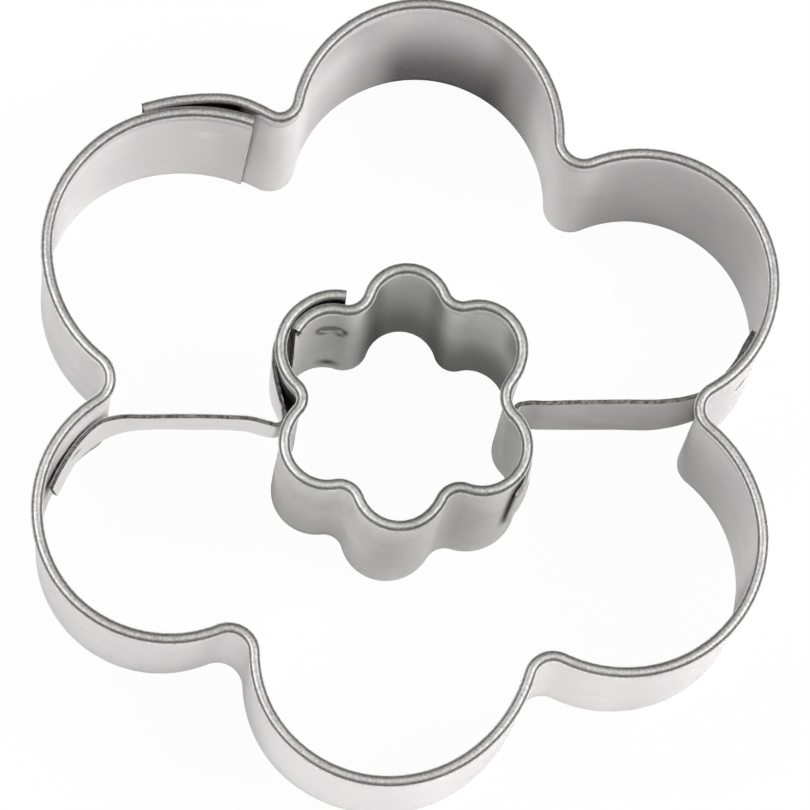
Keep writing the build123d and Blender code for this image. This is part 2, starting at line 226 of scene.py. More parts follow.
def notch_circle(before, after, radius, sense):
    """Circle in a notch, touching the flanks on both sides of it."""
    (c1, r1), (c2, r2) = before, after
    span = hypot(c2[0] - c1[0], c2[1] - c1[1])
    along = ((c2[0] - c1[0]) / span, (c2[1] - c1[1]) / span)
    a, b = r1 + radius, r2 + radius
    reach = (a * a - b * b + span * span) / (2 * span)
    rise = sqrt(a * a - reach * reach) * sense
    centre = (c1[0] + along[0] * reach + along[1] * rise, c1[1] + along[1] * reach - along[0] * rise)
    return {
        "circle": (centre, radius),
        "enter": polar(c1, r1, bearing(c1, centre)),
        "leave": polar(c2, r2, bearing(c2, centre)),
    }


def outline(spec, table):
    """Arcs of a strip's path: the seam petal's hidden layer first, the lapped layer of the same petal last."""
    sense, seam = spec["sense"], spec["seam"]
    order = [(seam + sense * k) % petal_count for k in range(petal_count)]
    petals = {}
    for j in order:
        facing = first_petal_angle + full_turn / petal_count * j + table["turn"][j]
        centre = polar(spec["middle"], spec["reach"] * table["reach"][j], facing)
        flanks = (table["lead"][j], table["trail"][j]) if sense > 0 else (table["trail"][j], table["lead"][j])
        sizes = [spec["petal"] * share for share in (table["crown"][j], *flanks)]
        petals[j] = petal_circles(facing, centre, *sizes, sense, 0.0)
        if j == seam:
            lapped = petal_circles(facing, centre, *sizes, sense, table["step"])

    def notch_number(j, k):
        return j if sense > 0 else k

    last = order[-1]
    notches = {}
    for j, k in zip(order, order[1:]):
        n = notch_number(j, k)
        notches[n] = notch_circle(petals[j]["exit"], petals[k]["entry"], spec["notch"] * table["notch"][n], sense)
    n = notch_number(last, seam)
    hidden = notch_circle(petals[last]["exit"], petals[seam]["entry"], spec["notch"] * table["notch"][n], sense)
    notches[n] = notch_circle(petals[last]["exit"], lapped["entry"], spec["notch"] * table["lap_notch"], sense)

    arcs = []
    enter = hidden["leave"]
    for j, k in zip(order, order[1:] + [seam]):
        petal, notch = petals[j], notches[notch_number(j, k)]
        arcs.append(arc_between(petal["entry"], enter, petal["joints"][0], sense))
        arcs.append(arc_between(petal["crown"], *petal["joints"], sense))
        arcs.append(arc_between(petal["exit"], petal["joints"][1], notch["enter"], sense))
        arcs.append(arc_between(notch["circle"], notch["enter"], notch["leave"], -sense))
        enter = notch["leave"]
    far = polar(lapped["exit"][0], lapped["exit"][1], bearing(lapped["exit"][0], lapped["joints"][1])
                + sense * crown_half_angle)
    arcs.append(arc_between(lapped["entry"], enter, lapped["joints"][0], sense))
    arcs.append(arc_between(lapped["crown"], *lapped["joints"], sense))
    arcs.append(arc_between(lapped["exit"], lapped["joints"][1], far, sense))
    return arcs


def located(arcs, length):
    """Place along the arcs, as arc number plus share, at a length from their start."""
    for number, arc in enumerate(arcs):
        span = arc_length(arc)
        if length <= span or number == len(arcs) - 1:
            return number + min(length / span, 1.0)
        length -= span


def on_arcs(arcs, place, sense):
    """Point and outward direction at a place along the arcs."""
    number = min(int(place), len(arcs) - 1)
    centre, radius, begin, swept = arcs[number]
    angle = radians(begin + swept * (place - number))
    side = 1.0 if swept * sense > 0 else -1.0
    facing = Vector((cos(angle), sin(angle)))
    return Vector(centre) + facing * radius, facing * side


hem_radius = hem_width / 2
hem_height = ring_height - hem_radius
lap_arcs = 3
slant_reach = 8.0
dent_limit = 3.0


class Ring:
    """Sheet strip between the outline of its hem and the outline of its cutting edge."""

    def __init__(self, spec, bulge):
        self.sense = spec["sense"]
        self.bulge = bulge
        self.top = outline(spec, spec["top"])
        self.foot = outline(spec, spec["foot"])
        lap_start = sum(arc_length(a) for a in self.top[:-lap_arcs])
        foot_lap_start = sum(arc_length(a) for a in self.foot[:-lap_arcs])
        self.start = spec["top"]["setback"]
        self.length = lap_start + spec["top"]["tail"] - self.start
        self.first = located(self.top, self.start)
        self.last = located(self.top, self.start + self.length)
        self.lap = spec["lap"]
        self.shades, self.stains, self.painted_light_and_shade = spec["shades"], spec["stains"], spec["painted_light_and_shade"]
        self.dents = []
        for dent in spec["dents"]:
            at = dent["at"] if dent["at"] > 0 else self.length + dent["at"]
            self.dents.append({**dent, "at": at})
        self.first_slant = located(self.foot, spec["foot"]["setback"]) - self.first
        self.last_slant = located(self.foot, foot_lap_start + spec["foot"]["tail"]) - self.last

    def point(self, distance, height, offset):
        """Point at a distance along the strip, at a height, at an offset outwards of the wall's middle."""
        place = located(self.top, self.start + distance)
        low_place = place + self.first_slant * eased(1 - distance / slant_reach)
        low_place += self.last_slant * eased(1 - (self.length - distance) / slant_reach)
        high, high_out = on_arcs(self.top, place, self.sense)
        low, low_out = on_arcs(self.foot, low_place, self.sense)
        high = high + high_out * hem_inset
        share = height / hem_height
        out = (low_out * (1 - share) + high_out * share).normalized()
        base = low * (1 - share) + high * share
        offset += self.bulge(distance, self.length, share)
        for dent in self.dents:
            reach = hypot(distance - dent["at"], height - dent["height"]) / dent["radius"]
            offset += dent["depth"] * exp(-reach * reach) if reach < dent_limit else 0.0
        spot = base + out * offset
        return Vector((spot.x, spot.y, height))


outer_bow = 0.35
outer_bow_middle = 9.3
outer_bow_half = 5.0
outer_tuck = 0.2
outer_tuck_length = 6.0
inner_flare = 0.25
inner_flare_length = 5.0
wave_height = 0.045
wave_length = 9.0
outer_wave_seed = 3.0
inner_wave_seed = 11.0


def waves(distance, share, seed):
    """Slow unevenness of a bent sheet."""
    return wave_height * noise.noise(Vector((distance / wave_length, share * ring_height / wave_length, seed)))


def outer_bulge(distance, length, share):
    """Outer ring: at the hem the lapping layer bows off the hidden one and closes on it again at its end."""
    left = length - distance
    bow = outer_bow * eased(1 - abs(left - outer_bow_middle) / outer_bow_half)
    bow -= outer_tuck * eased(1 - left / outer_tuck_length)
    return bow * share + waves(distance, share, outer_wave_seed)


def inner_bulge(distance, length, share):
    """Inner ring: the lapping layer's end springs outwards."""
    left = length - distance
    flare = inner_flare * eased(1 - left / inner_flare_length)
    return flare * share + waves(distance, share, inner_wave_seed)


outer = Ring(outer_spec, outer_bulge)
inner = Ring(inner_spec, inner_bulge)


# Section of the strip: middle line of the sheet as (offset, height, half thickness), from the cutting edge up
edge_round = 0.06
wall_steps = 32
bead_steps = 22
bead_start = -50.0
bead_end = 232.0
bead_flatness = 2.5
wall_top_share = 1.15
flap_steps = 4
flap_top_share = 1.25

# Numbers of the last points of the wall, the bead and the flap in the section
wall_last = wall_steps + 1
bead_last = wall_last + bead_steps + 1
flap_last = bead_last + flap_steps + 1


def bead_point(angle):
    """Point on the flattened round of the hem's middle line."""
    radius = hem_radius - ring_sheet / 2
    c, s = cos(radians(angle)), sin(radians(angle))
    scale = (abs(c) ** bead_flatness + abs(s) ** bead_flatness) ** (-1 / bead_flatness)
    return (-hem_inset + radius * scale * c, hem_height + radius * scale * s)


def strip_section():
    """Wall, hem's bead and the flap that hangs inside it."""
    half = ring_sheet / 2
    points = [(0.0, 0.0, half - edge_round), (0.0, edge_round, half)]
    wall_top = hem_height - hem_radius * wall_top_share
    for k in range(1, wall_steps + 1):
        points.append((0.0, mixed(edge_round, wall_top, k / wall_steps), half))
    for k in range(bead_steps + 1):
        o, z = bead_point(mixed(bead_start, bead_end, k / bead_steps))
        points.append((o, z, half))
    flap_offset = -(ring_sheet + flap_gap)
    flap_top = hem_height - hem_radius * flap_top_share
    for k in range(flap_steps + 1):
        points.append((flap_offset, mixed(flap_top, ring_height - flap_drop, k / flap_steps), half))
    points[-1] = (flap_offset - flap_curl, points[-1][1], half - edge_round)
    return points


def section_normals(points):
    """Unit direction to the sheet's outer side at each point of the section."""
    normals = []
    for k in range(len(points)):
        a, b = points[max(k - 1, 0)], points[min(k + 1, len(points) - 1)]
        along = Vector((b[0] - a[0], b[1] - a[1])).normalized()
        normals.append((along.y, -along.x))
    return normals


sharp_angle = 50.0


def linked(name, data):
    """New object in the scene."""
    made = bpy.data.objects.new(name, data)
    scene.collection.objects.link(made)
    return made


def new_mesh(name, vertices, faces, slots):
    """Smooth mesh through points in mm."""
    mesh = bpy.data.meshes.new(name)
    mesh.from_pydata([point * MM for point in vertices], [], faces)
    for finish in slots:
        mesh.materials.append(finish)
    mesh.polygons.foreach_set("use_smooth", [True] * len(mesh.polygons))
    return mesh


def new_piece(name, mesh):
    """Object of a mesh, creased where faces meet at a sharp angle."""
    mesh.update()
    mesh.set_sharp_from_angle(angle=radians(sharp_angle))
    return linked(name, mesh)


def sheet_mesh(name, stations, sides, painted_shade_and_stains, painted_light_and_shade, grit, slots):
    """Closed sheet from rows of points.

    stations: distance of each row. sides(row): the outer and the inner points of a row, from one long edge to the
    other, as (point, length across). The shade-and-stains function (distance, side, column, height): how dark the
    painted shade and the stains are there. The light-and-shade function (distance, side, height): change of the
    metal's brightness by painted light and shade there. grit(column): how grainy a column is.
    """
    rows = [sides(d) for d in stations]
    count = len(rows[0][0])
    vertices, across, along, shaded_and_stained, toned, grainy = [], [], [], [], [], []
    for row, distance in zip(rows, stations):
        for side in (outside, inside):
            for column, (point, length) in enumerate(row[side]):
                vertices.append(point)
                across.append(length * MM)
                along.append((distance + side * 2 * stations[-1]) * MM)
                shaded_and_stained.append(painted_shade_and_stains(distance, side, column, point.z))
                toned.append(painted_light_and_shade(distance, side, point.z))
                grainy.append(grit(column))
    width = 2 * count

    def vertex(row, side, column):
        return row * width + side * count + column

    faces, edge_faces = [], []
    for r in range(len(rows) - 1):
        for c in range(count - 1):
            faces.append((vertex(r, 0, c), vertex(r + 1, 0, c), vertex(r + 1, 0, c + 1), vertex(r, 0, c + 1)))
            faces.append((vertex(r, 1, c + 1), vertex(r + 1, 1, c + 1), vertex(r + 1, 1, c), vertex(r, 1, c)))
        edge_faces.append((vertex(r, 1, 0), vertex(r + 1, 1, 0), vertex(r + 1, 0, 0), vertex(r, 0, 0)))
        c = count - 1
        edge_faces.append((vertex(r, 0, c), vertex(r + 1, 0, c), vertex(r + 1, 1, c), vertex(r, 1, c)))
    last = len(rows) - 1
    for c in range(count - 1):
        edge_faces.append((vertex(0, 0, c), vertex(0, 0, c + 1), vertex(0, 1, c + 1), vertex(0, 1, c)))
        edge_faces.append((vertex(last, 0, c + 1), vertex(last, 0, c), vertex(last, 1, c), vertex(last, 1, c + 1)))
    mesh = new_mesh(name, vertices, faces + edge_faces, slots)
    for polygon in mesh.polygons:
        polygon.material_index = face_slot if polygon.index < len(faces) else edge_slot
    strip = mesh.uv_layers.new(name="strip")
    for loop in mesh.loops:
        strip.data[loop.index].uv = (along[loop.vertex_index], across[loop.vertex_index])
    # Painted shade with the stains, painted light and shade, and grit, as values on the points
    for layer, values in (("painted_shade_and_stain", shaded_and_stained), ("tone", toned), ("grit", grainy)):
        mesh.attributes.new(layer, "FLOAT", "POINT").data.foreach_set("value", values)
    return new_piece(name, mesh)


def stations_of(ring, spacing):
    """Distances of the rows along a ring, at about a spacing."""
    count = ceil(ring.length / spacing)
    return [ring.length * k / count for k in range(count + 1)]


def ring_sides(ring):
    """Rows of a ring's strip."""
    section = strip_section()
    normals = section_normals(section)
    lengths = [0.0]
    for a, b in zip(section, section[1:]):
        lengths.append(lengths[-1] + hypot(b[0] - a[0], b[1] - a[1]))

    def sides(distance):
        longer = flap_uneven * noise.noise(Vector((distance / flap_uneven_length, ring.lap, 0.0)))
        row = []
        for sign in (1, -1):
            points = []
            for k, ((o, z, half), (no, nz), length) in enumerate(zip(section, normals, lengths)):
                z -= longer * max(k - bead_last - 1, 0) / flap_steps
                points.append((ring.point(distance, z + sign * half * nz, o + sign * half * no), length))
            row.append(points)
        return row

    return sides


lap_fade = 1.2
lap_top = 23.6
lap_flank = 0.3
flank_fade = 0.15
dark_top = lap_top + 1
# How dark the line of painted shade along the flap's edge is
flap_edge_shade = 0.1
shade_fade = 1.5
shade_rise = 2.0


def ring_shade_and_stains(ring):
    """Painted shade inside the lap, in the hem's roll and behind the tabs, a thin line of painted shade along the
    flap's edge, and dark stains.
    """
    section = strip_section()

    def painted_shade_and_stains(distance, side, column, height):
        left = ring.length - distance
        offset = section[column][0] + hem_inset
        # Painted shade on the bead's flanks in the lap's gap; painted shade fills the inside of the hem's roll
        if height > lap_top and wall_last <= column < bead_last:
            first = eased((ring.lap - distance) / lap_fade) * eased((offset - lap_flank) / flank_fade)
            last = eased((ring.lap - left) / lap_fade) * eased((-offset - lap_flank) / flank_fade)
            return max(first, last) if side == outside else 1.0
        # Painted shade between the two layers of the lap, below the hem
        depth = ring.lap - (distance if side == outside else left)
        value = eased(depth / lap_fade) * eased((dark_top - height) / lap_fade)
        # Painted shade on the flap near the lapping end
        if side == outside and column >= bead_last - 1:
            value = eased((ring.lap - left) / lap_fade)
        # A thin line of painted shade along the flap's edge
        if side == outside and column >= flap_last - 1:
            value = max(value, flap_edge_shade)
        # Painted shade behind the tabs
        for shade in ring.shades:
            if shade["side"] == side and shade["start"] < distance < shade["end"]:
                cover = eased((distance - shade["start"]) / shade_fade)
                cover *= eased((shade["end"] - distance) / shade_fade)
                cover *= eased((height - shade["low"]) / shade_rise + 1)
                cover *= eased((shade["high"] - height) / shade_rise + 1)
                value = max(value, shade["depth"] * cover)
        for stain in ring.stains:
            if side == inside:
                reach = hypot(distance - stain["at"], height - stain["height"])
                value = max(value, stain["depth"] * exp(-((reach - stain["radius"]) / stain["rim"]) ** 2))
        return value

    return painted_shade_and_stains


hem_grit = 1.0
wall_grit = 0.15


def ring_grit(column):
    """The hem's bend is grainier than the wall."""
    return hem_grit if wall_last <= column <= bead_last else wall_grit


tone_fade = 4.0


def ring_painted_light_and_shade(ring):
    """Broad areas of painted light and shade on the sheet, as a relative change of the metal's colour."""

    def painted_light_and_shade(distance, side, height):
        factor = 1.0
        # Each area paints shade (a negative change) or light (a positive change) into the colour
        for at, half, level, fade, face, change in ring.painted_light_and_shade:
            if face == side:
                along = crossing((half - abs(distance - at)) / min(tone_fade, half))
                factor *= 1 + change * along * crossing((height - level) / fade)
        return factor - 1

    return painted_light_and_shade


# Materials
def material(name):
    """New material with an empty node tree."""
    made = bpy.data.materials.new(name)
    made.use_nodes = True
    tree = made.node_tree
    tree.nodes.clear()
    return made, tree


def node(tree, kind, **settings):
    """New node; a setting is an input's value or a property."""
    made = tree.nodes.new(kind)
    for key, value in settings.items():
        if key in made.inputs:
            made.inputs[key].default_value = value
        else:
            setattr(made, key, value)
    return made


def feed(tree, socket, value):
    """Link an output to a socket, or set the socket's value."""
    if isinstance(value, bpy.types.NodeSocket):
        tree.links.new(value, socket)
    else:
        socket.default_value = value


def maths(tree, operation, *values):
    """Result of a sum with values or outputs."""
    made = node(tree, "ShaderNodeMath", operation=operation)
    for socket, value in zip(made.inputs, values):
        feed(tree, socket, value)
    return made.outputs["Value"]


def remapped(tree, value, source, target, **settings):
    """Value moved from one range to another."""
    made = node(tree, "ShaderNodeMapRange", **settings)
    feed(tree, made.inputs["Value"], value)
    made.inputs["From Min"].default_value, made.inputs["From Max"].default_value = source
    made.inputs["To Min"].default_value, made.inputs["To Max"].default_value = target
    return made.outputs["Result"]


def blended(tree, factor, first, second):
    """Colour between two colours."""
    made = node(tree, "ShaderNodeMix", data_type="RGBA")
    feed(tree, made.inputs["Factor"], factor)
    feed(tree, made.inputs["A"], first)
    feed(tree, made.inputs["B"], second)
    return made.outputs["Result"]


def speckle(tree, vector, scale, detail, seed):
    """Noise at a place."""
    made = node(tree, "ShaderNodeTexNoise", noise_dimensions="4D", Scale=scale, Detail=detail, W=seed)
    feed(tree, made.inputs["Vector"], vector)
    return made.outputs["Fac"]


def attribute(tree, name):
    """Value painted on a mesh's points."""
    return node(tree, "ShaderNodeAttribute", attribute_name=name).outputs["Fac"]


def grey(tone):
    """Grey with full alpha."""
    return (tone, tone, tone, 1)


cloud_detail = 3.0
fine_detail = 2.0
cloud_range = (0.35, 0.65)
streak_seed = 5
streak_stretch = 0.05
streak_range = (0.3, 0.7)
gloss_range = (0.97, 1.03)
grain_seed = 9
grain_size = 0.28
grain_middle = 0.5
grit_depth = 1.1
bump_depth = 0.01
bump_strength = 0.4
facing_blend = 0.5
grazing_range = (0.5, 0.72)
grazing_metal = 0.1
# Near-black colour of the painted shade and of the stains
shade_and_stain_tone = 0.03


def clouded(tree, place, cloud_size, seed, dark, colour):
    """Soft patches of two close tints."""
    tint = node(tree, "ShaderNodeValToRGB")
    for element, position, shade in zip(tint.color_ramp.elements, cloud_range, (dark, colour)):
        element.position = position
        element.color = (*shade, 1)
    feed(tree, tint.inputs["Fac"], speckle(tree, place, 1 / (cloud_size * MM), cloud_detail, seed))
    return tint.outputs["Color"]


def streaked(tree, streak_size, seed):
    """Faint lines along the strip."""
    strip = node(tree, "ShaderNodeUVMap", uv_map="strip")
    stretch = node(tree, "ShaderNodeMapping")
    stretch.inputs["Scale"].default_value = (streak_stretch / (streak_size * MM), 1 / (streak_size * MM), 1.0)
    feed(tree, stretch.inputs["Vector"], strip.outputs["UV"])
    return speckle(tree, stretch.outputs["Vector"], 1.0, fine_detail, seed)


def metal(name, colour, dark, roughness, cloud_size, streak_size, seed, grazing=grazing_metal):
    """Sheet metal: clouds, grain, streaks, satin at a glancing view, and the piece's own painted shade and stains,
    painted light and shade, and grit.
    """
    made, tree = material(name)
    shader = node(tree, "ShaderNodeBsdfPrincipled")
    shader.inputs["Specular IOR Level"].default_value = 0.0
    output = node(tree, "ShaderNodeOutputMaterial")
    feed(tree, output.inputs["Surface"], shader.outputs["BSDF"])
    place = node(tree, "ShaderNodeTexCoord").outputs["Object"]
    tint = clouded(tree, place, cloud_size, seed, dark, colour)
    # Painted shade and stains blend the colour towards near black
    shaded_and_stained = blended(tree, attribute(tree, "painted_shade_and_stain"), tint, grey(shade_and_stain_tone))
    grain = speckle(tree, place, 1 / (grain_size * MM), fine_detail, seed + grain_seed)
    grit = maths(tree, "MULTIPLY", maths(tree, "SUBTRACT", grain, grain_middle), attribute(tree, "grit"))
    # Painted light and shade scale the colour, together with the grit
    tone = maths(tree, "ADD", attribute(tree, "tone"), 1.0)
    toned = node(tree, "ShaderNodeVectorMath", operation="SCALE")
    feed(tree, toned.inputs[0], shaded_and_stained)
    feed(tree, toned.inputs["Scale"], maths(tree, "MULTIPLY_ADD", grit, grit_depth, tone))
    feed(tree, shader.inputs["Base Color"], toned.outputs["Vector"])
    bump = node(tree, "ShaderNodeBump", Strength=bump_strength, Distance=bump_depth * MM)
    feed(tree, bump.inputs["Height"], grain)
    feed(tree, shader.inputs["Normal"], bump.outputs["Normal"])
    gloss = [roughness * share for share in gloss_range]
    streaks = streaked(tree, streak_size, seed + streak_seed)
    feed(tree, shader.inputs["Roughness"], remapped(tree, streaks, streak_range, gloss))
    facing = node(tree, "ShaderNodeLayerWeight", Blend=facing_blend).outputs["Facing"]
    feed(tree, shader.inputs["Metallic"], remapped(tree, facing, grazing_range, (1.0, grazing)))
    return made


ring_metal = metal("ring_tinplate", (0.81, 0.8, 0.79), (0.785, 0.755, 0.775),
                   roughness=0.4, cloud_size=4.0, streak_size=0.5, seed=1.0)
# Greener copy of the ring metal, with darker clouds, for the inner ring
inner_metal = metal("ring_tinplate_greener", (0.81, 0.815, 0.79), (0.76, 0.76, 0.745),
                    roughness=0.4, cloud_size=3.0, streak_size=0.5, seed=6.0)
# Copy of the ring metal painted lighter, as painted light, so the outer seam's welds match the painted light on the
# wall around them
seam_metal_painted_light = metal("ring_tinplate_painted_light", (0.95, 0.94, 0.93), (0.92, 0.9, 0.91),
                  roughness=0.4, cloud_size=4.0, streak_size=0.5, seed=1.0)
edge_metal = metal("sheared_edge", (0.42, 0.42, 0.39), (0.14, 0.14, 0.125),
                   roughness=0.45, cloud_size=0.35, streak_size=0.2, seed=2.0)
brace_metal = metal("brace_strip", (0.78, 0.77, 0.765), (0.7, 0.695, 0.685),
                    roughness=0.38, cloud_size=4.0, streak_size=0.4, seed=3.0)
# The left brace's copy of the brace metal: its colour is painted lighter, as painted light on the leaning strip, and
# it stays metallic at a glance
brace_metal_painted_lighter = metal("brace_strip_painted_lighter", (0.82, 0.81, 0.805), (0.77, 0.76, 0.75),
                    roughness=0.38, cloud_size=4.0, streak_size=0.4, seed=3.0, grazing=0.85)
weld_metal = metal("spot_weld", (0.42, 0.41, 0.41), (0.2, 0.2, 0.2),
                   roughness=0.42, cloud_size=0.8, streak_size=0.3, seed=4.0)

outer_spacing = 0.35
inner_spacing = 0.2


def ring_piece(name, ring, spacing, finish):
    """Strip of a ring with its painted shade and stains, painted light and shade, and grit."""
    return sheet_mesh(name, stations_of(ring, spacing), ring_sides(ring), ring_shade_and_stains(ring), ring_painted_light_and_shade(ring),
                      ring_grit, (finish, edge_metal))


outer_piece = ring_piece("outer_ring_strip", outer, outer_spacing, ring_metal)
inner_piece = ring_piece("inner_ring_strip", inner, inner_spacing, inner_metal)
for piece, solid in ((outer_piece, "outer_ring"), (inner_piece, "inner_ring")):
    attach(piece, "root")
    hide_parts(solid)

# Braces: flat strips on edge. Plan points of the sheet's middle along the bottom edge and the top edge, from the
# outer tab's end through the bend, the run and the hook to the inner tab's end. Places along a strip are numbers of
# these points. A weld is (place on the brace, distance on the ring). The sheet is a little thicker than the solid's,
# for the burr of its edges.
brace_sheet = 0.46
brace_height = 10.0

left_spec = {
    "base": 7.5,
    "low": ((-33.5, -10.0), (-32.85, -8.5), (-31.85, -6.4), (-30.3, -4.65), (-28.9, -3.6), (-27.2, -2.85),
            (-24.6, -2.35), (-20.5, -2.05), (-16.5, -1.8), (-14.6, -1.85), (-12.9, -2.2), (-11.8, -2.2),
            (-11.2, -1.75), (-11.2, -1.0), (-11.65, -0.2), (-12.25, 1.1), (-12.6, 2.6), (-12.5, 4.6), (-11.9, 6.1)),
    "high": ((-33.65, -11.4), (-32.9, -9.5), (-31.9, -7.5), (-30.5, -5.5), (-29.2, -4.3), (-27.6, -3.75),
             (-24.6, -3.45), (-20.5, -3.1), (-16.5, -2.9), (-14.3, -2.9), (-12.7, -3.2), (-11.7, -3.3),
             (-11.2, -2.85), (-11.25, -2.1), (-11.65, -0.65), (-12.2, 1.1), (-12.6, 3.1), (-12.5, 5.0), (-11.9, 6.4)),
    "outer_weld": (2.15, 49.5), "inner_weld": (16.1, 83.0), "press": (0.15, -0.29), "burr": True,
    "bright_from": 18.5,
}
right_spec = {
    "base": 9.5,
    "low": ((35.15, 8.7), (34.45, 7.3), (33.75, 5.8), (32.75, 4.35), (31.6, 3.2), (30.25, 2.3),
            (28.7, 1.65), (26.5, 1.05), (22.0, 0.7), (17.5, 0.35), (14.5, 0.15), (12.7, 0.0),
            (11.9, -0.35), (11.9, -1.1), (12.7, -2.0), (13.6, -3.6), (13.75, -5.3), (13.0, -7.9), (11.7, -9.95)),
    "high": ((34.85, 9.3), (34.1, 7.9), (33.4, 6.3), (32.5, 4.9), (31.4, 3.6), (30.1, 2.6),
             (28.5, 1.95), (26.5, 1.5), (22.0, 1.1), (17.5, 0.7), (14.5, 0.4), (12.6, 0.25),
             (11.7, -0.1), (11.6, -0.9), (12.3, -2.2), (13.1, -3.9), (13.25, -5.9), (13.0, -7.7), (12.15, -9.3)),
    "outer_weld": (2.0, 181.0), "inner_weld": (16.35, 40.6), "press": (0.75, -0.12), "burr": False,
    "bright_from": 14.3,
}


slope_step = 0.002
press_radius = 1.3
middle_share = 0.5


class Brace:
    """Strip between two plan curves, pressed against the walls where it is welded."""

    def __init__(self, spec):
        self.base = spec["base"]
        self.burr, self.bright_from = spec["burr"], spec["bright_from"]
        self.edges = [[Vector(p) for p in spec[level]] for level in ("low", "high")]
        self.last = len(self.edges[0]) - 1
        self.outer_weld, self.inner_weld = spec["outer_weld"], spec["inner_weld"]
        self.press = ((self.outer_weld[0], spec["press"][0]), (self.inner_weld[0], spec["press"][1]))
        self.lengths = [(b - a).length for a, b in zip(self.edges[1], self.edges[1][1:])]

    def on_edge(self, edge, place):
        """Point of a smooth curve through an edge's points."""
        k = min(int(place), self.last - 1)
        s = place - k
        p, q = edge[k], edge[k + 1]
        span = (q - p).length

        def slope(j):
            if j in (0, self.last):
                near = edge[1] - edge[0] if j == 0 else edge[j] - edge[j - 1]
                return near / near.length
            before, after = edge[j] - edge[j - 1], edge[j + 1] - edge[j]
            a, b = before.length, after.length
            return (before / a * b + after / b * a) / (a + b)

        m, n = slope(k) * span, slope(k + 1) * span
        return (p * (2 * s ** 3 - 3 * s ** 2 + 1) + m * (s ** 3 - 2 * s ** 2 + s)
                + q * (3 * s ** 2 - 2 * s ** 3) + n * (s ** 3 - s ** 2))

    def point(self, place, share, offset):
        """Point at a place along the strip, at a share of its height, at an offset to its left."""
        first, last = max(place - slope_step, 0.0), min(place + slope_step, self.last - slope_step)
        spots = []
        for p in (first, place, last):
            low, high = (self.on_edge(edge, p) for edge in self.edges)
            spots.append(low + (high - low) * share)
        along = (spots[2] - spots[0]).normalized()
        for where, depth in self.press:
            near = (self.on_edge(self.edges[1], min(place, self.last)) - self.on_edge(self.edges[1], where)).length
            reach = hypot(near, (share - middle_share) * brace_height) / press_radius
            offset += depth * exp(-reach * reach)
        spot = spots[1] + Vector((-along.y, along.x)) * offset
        return Vector((spot.x, spot.y, self.base + brace_height * share))

    def places(self, spacing):
        """Places of the rows along the strip, at about a spacing."""
        found = []
        for number, length in enumerate(self.lengths):
            count = ceil(length / spacing)
            found += [number + k / count for k in range(count)]
        return found + [float(self.last)]


left = Brace(left_spec)
right = Brace(right_spec)


def loft_mesh(name, rows, slots, slot_of):
    """Closed body through rows of points, with flat ends. slot_of(row, side): a face's slot, no side at ends."""
    count = len(rows[0])
    faces = []
    for r in range(len(rows) - 1):
        for c in range(count):
            d = (c + 1) % count
            faces.append((r * count + c, (r + 1) * count + c, (r + 1) * count + d, r * count + d))
    ends = [tuple(range(count)), tuple((len(rows) - 1) * count + c for c in reversed(range(count)))]
    mesh = new_mesh(name, [point for row in rows for point in row], faces + ends, slots)
    for polygon in mesh.polygons:
        row, side = divmod(polygon.index, count)
        polygon.material_index = slot_of(row, side if polygon.index < len(faces) else None)
    along, around = [0.0], [0.0]
    for before, row in zip(rows, rows[1:]):
        along.append(along[-1] + (row[0] - before[0]).length)
    for a, b in zip(rows[0], rows[0][1:]):
        around.append(around[-1] + (b - a).length)
    strip = mesh.uv_layers.new(name="strip")
    for loop in mesh.loops:
        r, c = divmod(loop.vertex_index, count)
        strip.data[loop.index].uv = (along[r] * MM, around[c] * MM)
    mesh.validate()
    return new_piece(name, mesh)


brace_spacing = 0.25
brace_levels = 10
edge_columns = 5
grit_height = 0.035
grit_length = 0.22


def brace_piece(name, brace, face_metal):
    """Strip with gritty edges; a burr leaves the top edge's far side bright, and so does the last stretch's end."""
    half = brace_sheet / 2
    section = [(-half, k / brace_levels) for k in range(brace_levels + 1)]
    section += [(mixed(-half, half, k / (edge_columns + 1)), 1.0) for k in range(1, edge_columns + 1)]
    section += [(half, 1 - k / brace_levels) for k in range(brace_levels + 1)]
    section += [(mixed(half, -half, k / (edge_columns + 1)), 0.0) for k in range(1, edge_columns + 1)]
    places = brace.places(brace_spacing)
    rows = []
    for place in places:
        row = []
        for offset, share in section:
            spot = brace.point(place, share, offset)
            if share in (0.0, 1.0):
                spot.z += grit_height * noise.noise(spot / grit_length)
            row.append(spot)
        rows.append(row)
    top_end = brace_levels + edge_columns + (0 if brace.burr else 1)
    foot_start = 2 * brace_levels + edge_columns + 1
    edge_sides = {*range(brace_levels, top_end), *range(foot_start, len(section))}
    dark_rows = sum(1 for place in places if place < brace.bright_from)

    def slot_of(row, side):
        return edge_slot if side is None or side in edge_sides and row < dark_rows else face_slot

    return loft_mesh(name, rows, (face_metal, edge_metal), slot_of)


left_piece = brace_piece("left_brace_strip", left, brace_metal_painted_lighter)
right_piece = brace_piece("right_brace_strip", right, brace_metal)
for piece, solid in ((left_piece, "left_brace"), (right_piece, "right_brace")):
    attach(piece, "root")
    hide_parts(solid)


# Spot welds: a flat lens through both sheets, following the sheets that it joins
weld_sectors = 24
weld_rings = 5
weld_crown = 0.05
weld_sink = 0.03
weld_wobble = 0.12
probe_step = 0.1


